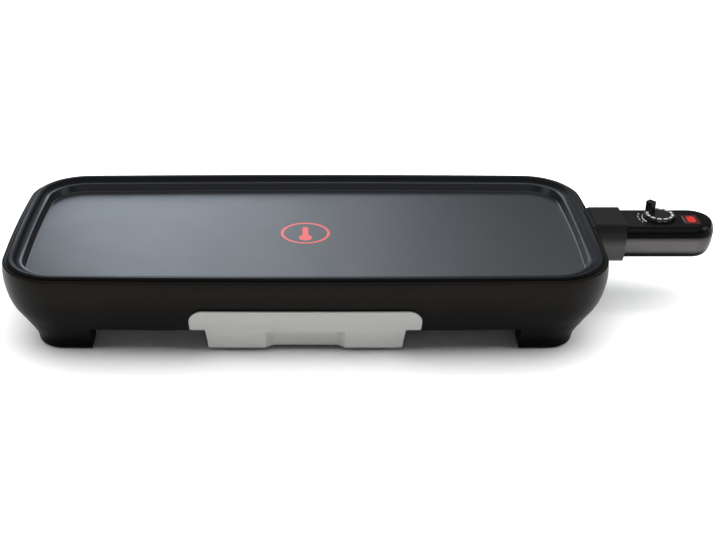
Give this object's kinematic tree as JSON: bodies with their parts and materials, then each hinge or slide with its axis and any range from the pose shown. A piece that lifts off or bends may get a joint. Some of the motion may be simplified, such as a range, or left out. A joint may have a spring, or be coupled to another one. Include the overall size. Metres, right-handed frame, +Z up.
{
  "type": "electric plancha",
  "caption": "Table-top electric plancha: coated cooking plate in a black base on feet, with a pull-out drip tray and a plug-in thermostat with a dial.",
  "frame": {"origin": "on the table, under the middle of the whole appliance with its thermostat plugged in", "axes": "+X along the plancha towards the thermostat, +Y away from the cook, +Z up"},
  "size_m": [0.6142, 0.2274, 0.0879],
  "materials": {
    "body_plastic": "satin moulded plastic, near black",
    "rubber": "matt rubber",
    "runner_plastic": "dull moulded plastic",
    "screw_steel": "zinc-plated steel",
    "coated_aluminium": "die-cast aluminium with a dark non-stick coating, satin",
    "element_sheath": "dull tube sheath",
    "contact_metal": "plated brass",
    "ceramic": "unglazed ceramic",
    "reflector_sheet": "bright pressed sheet",
    "tray_plastic": "dull moulded plastic, near black",
    "front_plastic": "silver-grey lacquered plastic, satin",
    "case_plastic": "satin moulded plastic, near black",
    "phenolic": "brown-black heat-proof moulding",
    "probe_steel": "stainless tube",
    "blade_metal": "two-metal strip",
    "dial_plastic": "satin moulded plastic, near black",
    "lens_red": "clear red plastic",
    "lamp_glass": "small neon bulb"
  },
  "bodies": {
    "base": {"base_housing": "body_plastic", "foot_pad_front_left": "rubber", "foot_pad_front_right": "rubber", "foot_pad_rear_left": "rubber", "foot_pad_rear_right": "rubber", "tray_runner_left": "runner_plastic", "tray_runner_right": "runner_plastic", "runner_screws": "screw_steel"},
    "plate": {"cooking_plate": "coated_aluminium", "heating_element": "element_sheath", "terminal_pin_front": "contact_metal", "terminal_pin_rear": "contact_metal", "terminal_insulators": "ceramic", "socket_guard": "case_plastic", "guard_screws": "screw_steel", "heat_reflector": "reflector_sheet", "reflector_screws": "screw_steel"},
    "thermostat": {"thermostat_upper_case": "case_plastic", "thermostat_lower_case": "case_plastic", "case_screws": "screw_steel", "plug_block": "phenolic", "contact_socket_front": "contact_metal", "contact_socket_rear": "contact_metal", "temperature_probe": "probe_steel", "switch_body": "phenolic", "bimetal_blade": "blade_metal", "pilot_lens": "lens_red", "pilot_lamp": "lamp_glass", "lamp_holder": "runner_plastic", "cord_gland": "rubber"},
    "dial": {"selector_dial": "dial_plastic", "dial_spindle": "probe_steel"},
    "tray": {"drip_tray": "tray_plastic", "tray_front": "front_plastic"}
  },
  "joints": [
    {"name": "tray_slide", "type": "slide", "parent": "base", "child": "tray", "axis": [0, -1, 0], "range_m": [0, 0.145]},
    {"name": "plate_lift", "type": "slide", "parent": "base", "child": "plate", "axis": [0, 0, 1], "range_m": [0, 0.1]},
    {"name": "thermostat_unplug", "type": "slide", "parent": "plate", "child": "thermostat", "axis": [1, 0, 0], "range_m": [0, 0.1]},
    {"name": "dial_turn", "type": "hinge", "parent": "thermostat", "child": "dial", "pos_m": [0.25885, 0.016, 0.077], "axis": [0, 0, 1], "range_deg": [-215, 35]}
  ]
}
